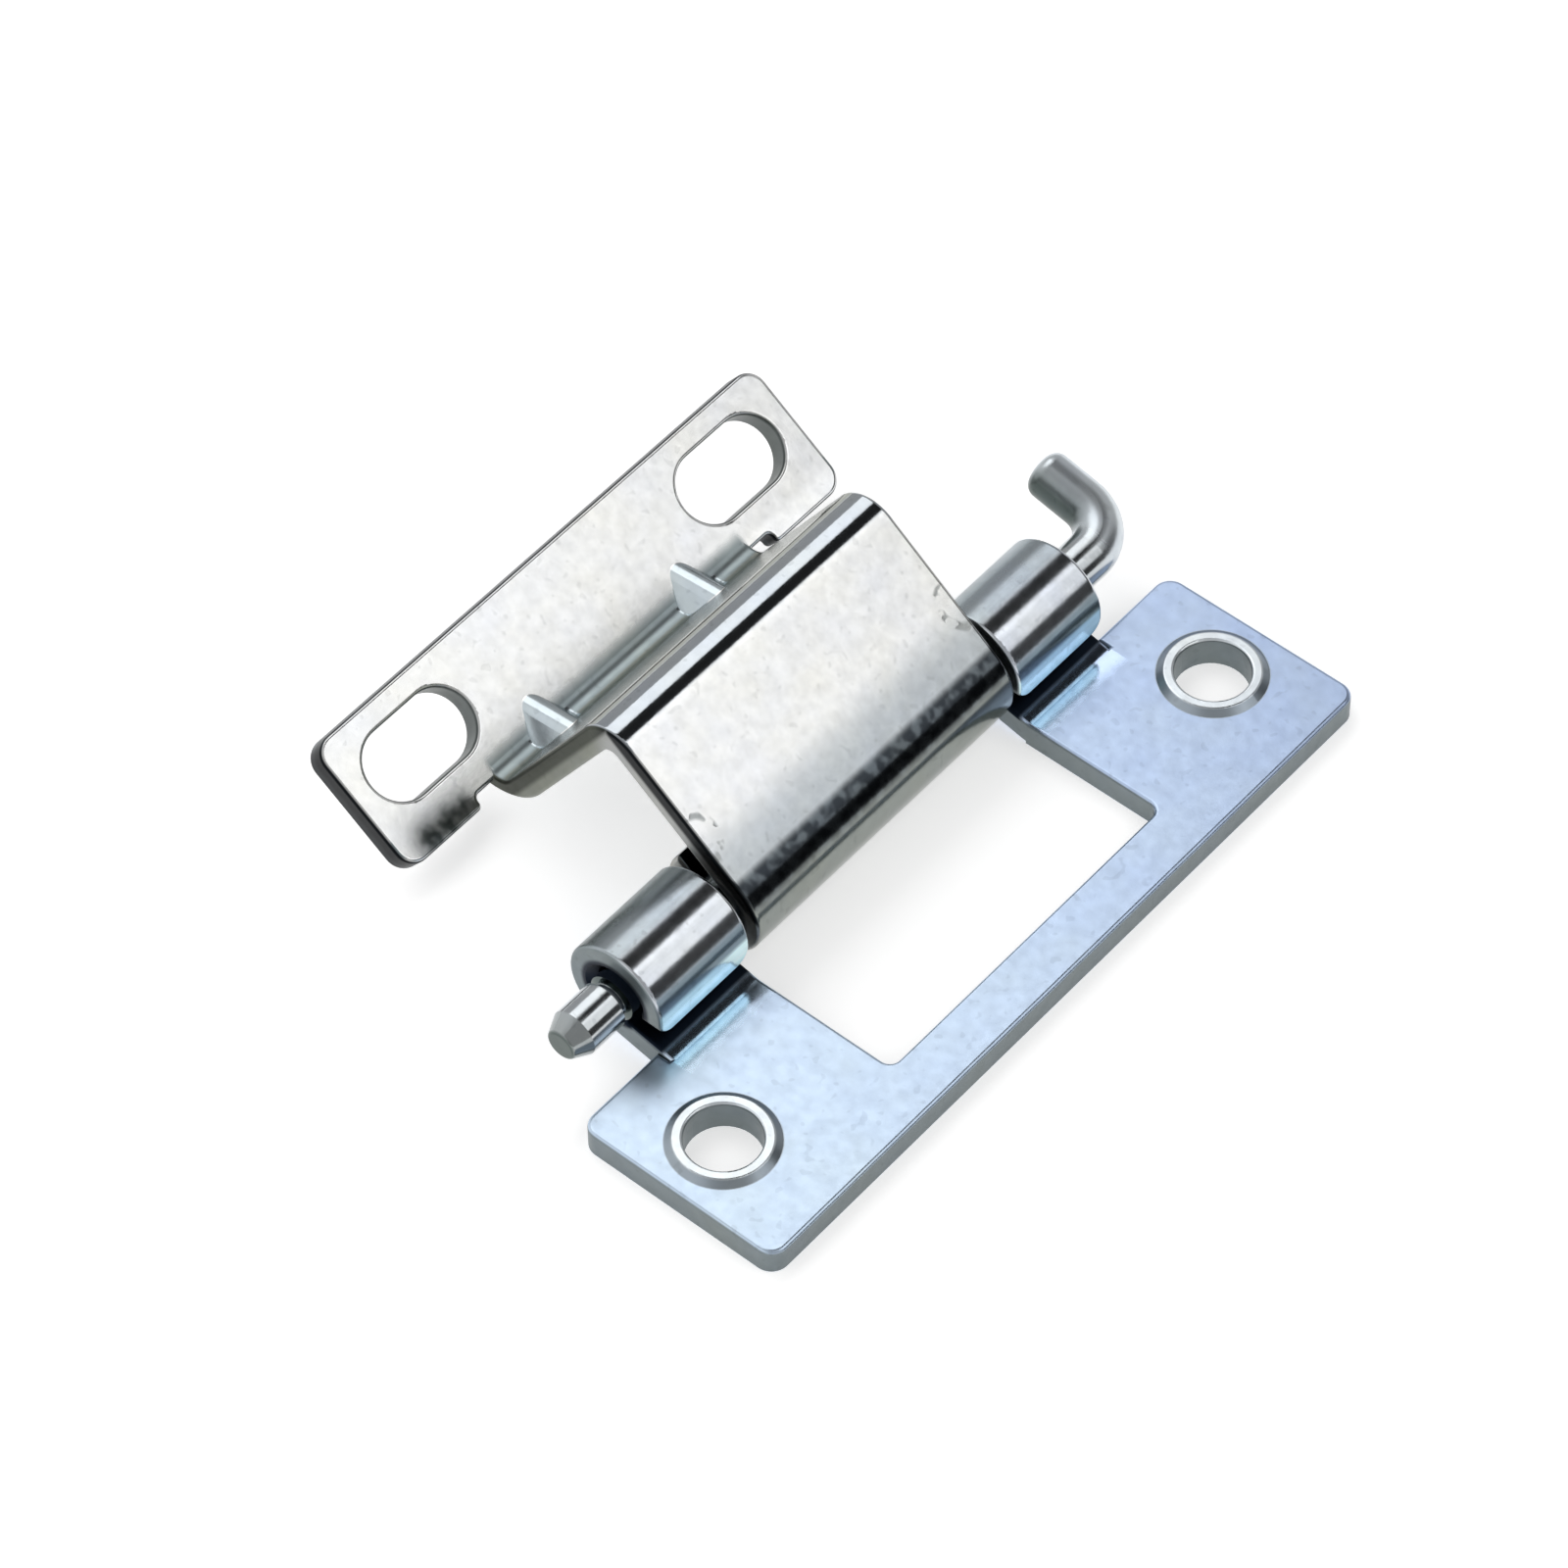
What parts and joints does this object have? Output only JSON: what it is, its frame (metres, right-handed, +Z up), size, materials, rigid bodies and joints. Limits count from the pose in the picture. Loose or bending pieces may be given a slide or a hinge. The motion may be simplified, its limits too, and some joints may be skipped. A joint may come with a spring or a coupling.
{
  "type": "cabinet hinge",
  "caption": "Sheet-metal concealed cabinet hinge: windowed frame leaf, gooseneck leaf with slotted flange, and an L-bent pull-out pin.",
  "frame": {"origin": "midway between the frame leaf's two screw holes, on its flat underside", "axes": "+Y along the hinge pin towards its bent end, +X towards the frame leaf's front edge, +Z up from the mounting face"},
  "size_m": [0.0473, 0.0604, 0.0158],
  "materials": {
    "frame_leaf_zinc": "bright zinc plate with a pale blue passivation",
    "gooseneck_zinc": "bright zinc plate, near white, with fine tumbling marks",
    "pin_steel": "smooth bright zinc-plated steel"
  },
  "bodies": {
    "frame": {"frame_leaf": "frame_leaf_zinc"},
    "door_leaf": {"gooseneck_leaf": "gooseneck_zinc"},
    "pin": {"hinge_pin": "pin_steel"}
  },
  "joints": [
    {"name": "leaf_hinge", "type": "hinge", "parent": "frame", "child": "door_leaf", "pos_m": [-0.0113, 0, 0.005], "axis": [0, 1, 0], "range_deg": [-148, 182]},
    {"name": "pin_slide", "type": "slide", "parent": "frame", "child": "pin", "axis": [0, 1, 0], "range_m": [0, 0.05]}
  ]
}
